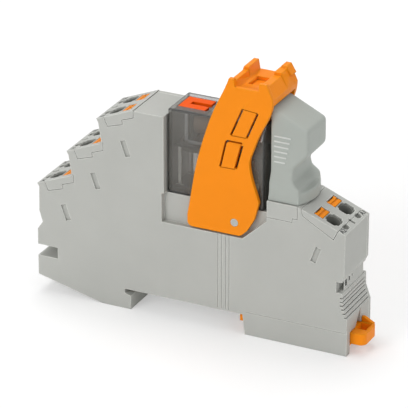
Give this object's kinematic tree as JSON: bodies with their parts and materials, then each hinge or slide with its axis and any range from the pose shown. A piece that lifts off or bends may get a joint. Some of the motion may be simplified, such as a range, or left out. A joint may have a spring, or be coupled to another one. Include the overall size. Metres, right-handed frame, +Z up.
{
  "type": "rail-mounted relay module",
  "caption": "Slim plug-in relay module for a rail, with stepped push-in terminals, a smoked relay, a retaining lever and a foot latch.",
  "frame": {"origin": "middle of the seat on the rail: the rail's top face, its centre line and the middle of the width", "axes": "+X along the module towards the coil terminals, +Y across its width towards the cover side, +Z up, away from the rail"},
  "size_m": [0.0991, 0.016, 0.0762],
  "materials": {
    "grey_housing": "fine matt",
    "red_orange_plastic": "satin",
    "grey_plug": "fine matt",
    "dark_entry": "matt",
    "orange_plastic": "satin",
    "smoked_cover": "clear smoked",
    "relay_black": "matt",
    "card_plastic": "matt",
    "copper_bar": "stamped",
    "copper_wire": "enamelled",
    "spring_steel": "bright",
    "core_iron": "plated",
    "contact_metal": "bright",
    "tinned_pin": "tinned",
    "board_green": "varnished",
    "led_body": "clear tinted",
    "diode_black": "glossy"
  },
  "bodies": {
    "base": {"housing": "grey_housing", "side_cover": "grey_housing", "terminal_insert_1": "grey_housing", "terminal_insert_2": "grey_housing", "terminal_insert_3": "grey_housing", "coil_insert": "grey_housing", "plug_in_socket": "grey_housing", "conductor_entries_1": "dark_entry", "conductor_entries_2": "dark_entry", "conductor_entries_3": "dark_entry", "coil_entries": "dark_entry", "clamp_springs": "spring_steel", "busbar_1": "copper_bar", "busbar_2": "copper_bar", "busbar_3": "copper_bar", "coil_bars": "copper_bar", "socket_clips": "copper_bar", "plug_in_housing": "grey_plug", "plug_in_base": "grey_plug", "plug_in_pins": "tinned_pin", "plug_in_board": "board_green", "indicator_led": "led_body", "suppressor_diode": "diode_black"},
    "lever": {"lever": "orange_plastic"},
    "relay": {"relay_cover": "smoked_cover", "relay_base": "relay_black", "coil_bobbin": "relay_black", "coil_tray": "relay_black", "coil_winding": "copper_wire", "coil_core": "core_iron", "magnet_yoke": "core_iron", "moving_contacts": "contact_metal", "fixed_contacts": "contact_metal", "relay_pins": "tinned_pin"},
    "test_tab": {"test_tab": "red_orange_plastic"},
    "armature": {"armature": "core_iron"},
    "contact_card": {"contact_card": "card_plastic"},
    "foot_latch": {"foot_latch": "orange_plastic"},
    "pusher_1": {"pusher_1": "orange_plastic"},
    "pusher_2": {"pusher_2": "orange_plastic"},
    "pusher_3": {"pusher_3": "orange_plastic"},
    "pusher_4": {"pusher_4": "orange_plastic"},
    "pusher_5": {"pusher_5": "orange_plastic"},
    "pusher_6": {"pusher_6": "orange_plastic"},
    "pusher_7": {"pusher_7": "orange_plastic"},
    "pusher_8": {"pusher_8": "orange_plastic"}
  },
  "joints": [
    {"name": "lever_hinge", "type": "hinge", "parent": "base", "child": "lever", "pos_m": [0.0161, 0, 0.0273], "axis": [0, 1, 0], "range_deg": [0, 18.5]},
    {"name": "relay_lift", "type": "slide", "parent": "base", "child": "relay", "axis": [0, 0, 1], "range_m": [0, 0.004]},
    {"name": "test_tab_hinge", "type": "hinge", "parent": "relay", "child": "test_tab", "pos_m": [-0.00285, 0, 0.05615], "axis": [0, -1, 0], "range_deg": [0, 90]},
    {"name": "armature_hinge", "type": "hinge", "parent": "relay", "child": "armature", "pos_m": [-0.00065, 0, 0.0467], "axis": [0, 1, 0], "range_deg": [0, 3], "stiffness_Nm_per_rad": 0.02, "springref_deg": -1.15},
    {"name": "contact_card_slide", "type": "slide", "parent": "relay", "child": "contact_card", "axis": [-1, 0, 0], "range_m": [0, 0.00022]},
    {"name": "foot_latch_slide", "type": "slide", "parent": "base", "child": "foot_latch", "axis": [1, 0, 0], "range_m": [0, 0.0025], "stiffness_N_per_m": 1500, "springref_m": -0.001},
    {"name": "pusher_1_press", "type": "slide", "parent": "base", "child": "pusher_1", "axis": [0.3786, 0, -0.9256], "range_m": [0, 0.001], "stiffness_N_per_m": 1000, "springref_m": -0.0005},
    {"name": "pusher_2_press", "type": "slide", "parent": "base", "child": "pusher_2", "axis": [0.3786, 0, -0.9256], "range_m": [0, 0.001], "stiffness_N_per_m": 1000, "springref_m": -0.0005},
    {"name": "pusher_3_press", "type": "slide", "parent": "base", "child": "pusher_3", "axis": [0.3786, 0, -0.9256], "range_m": [0, 0.001], "stiffness_N_per_m": 1000, "springref_m": -0.0005},
    {"name": "pusher_4_press", "type": "slide", "parent": "base", "child": "pusher_4", "axis": [0.3786, 0, -0.9256], "range_m": [0, 0.001], "stiffness_N_per_m": 1000, "springref_m": -0.0005},
    {"name": "pusher_5_press", "type": "slide", "parent": "base", "child": "pusher_5", "axis": [0.3786, 0, -0.9256], "range_m": [0, 0.001], "stiffness_N_per_m": 1000, "springref_m": -0.0005},
    {"name": "pusher_6_press", "type": "slide", "parent": "base", "child": "pusher_6", "axis": [0.3786, 0, -0.9256], "range_m": [0, 0.001], "stiffness_N_per_m": 1000, "springref_m": -0.0005},
    {"name": "pusher_7_press", "type": "slide", "parent": "base", "child": "pusher_7", "axis": [-0.3714, 0, -0.9285], "range_m": [0, 0.001], "stiffness_N_per_m": 1000, "springref_m": -0.0005},
    {"name": "pusher_8_press", "type": "slide", "parent": "base", "child": "pusher_8", "axis": [-0.3714, 0, -0.9285], "range_m": [0, 0.001], "stiffness_N_per_m": 1000, "springref_m": -0.0005}
  ],
  "couplings": [
    {"joint": "lever_hinge", "follows": "relay_lift", "rad_per_m": 80.7},
    {"joint": "armature_hinge", "follows": "contact_card_slide", "rad_per_m": 237.9}
  ]
}
